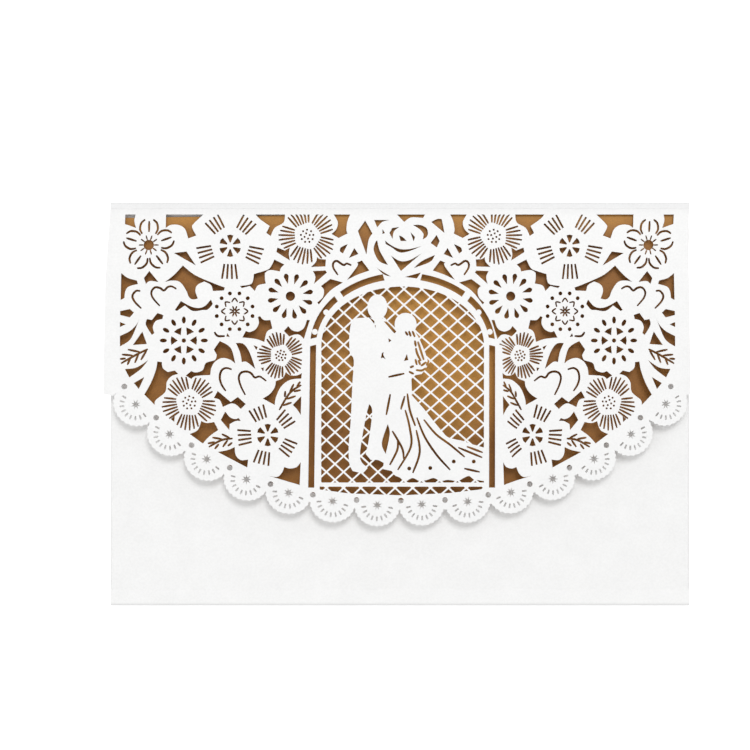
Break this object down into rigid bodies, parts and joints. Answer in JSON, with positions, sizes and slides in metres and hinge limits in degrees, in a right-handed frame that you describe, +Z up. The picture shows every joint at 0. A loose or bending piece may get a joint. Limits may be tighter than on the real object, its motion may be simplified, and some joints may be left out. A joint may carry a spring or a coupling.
{
  "type": "laser-cut wedding invitation",
  "caption": "Folded white card pocket, 0.178 m wide, with a scalloped laser-cut lace flap over a gold insert card; carries and presents a wedding invitation",
  "frame": {"origin": "middle of the card's underside, where its back panel lies on the table", "axes": "+X across the card's width, +Y from the bottom fold to the top fold, +Z up out of the front"},
  "size_m": [0.1798, 0.124, 0.0059],
  "materials": {
    "white_card": "pearl white card, fine tooth, soft sheen",
    "gold_card": "gold pearlescent card with a fine metallic grain"
  },
  "bodies": {
    "root": {"lace_wrap": "white_card", "gold_insert": "gold_card"}
  },
  "joints": []
}
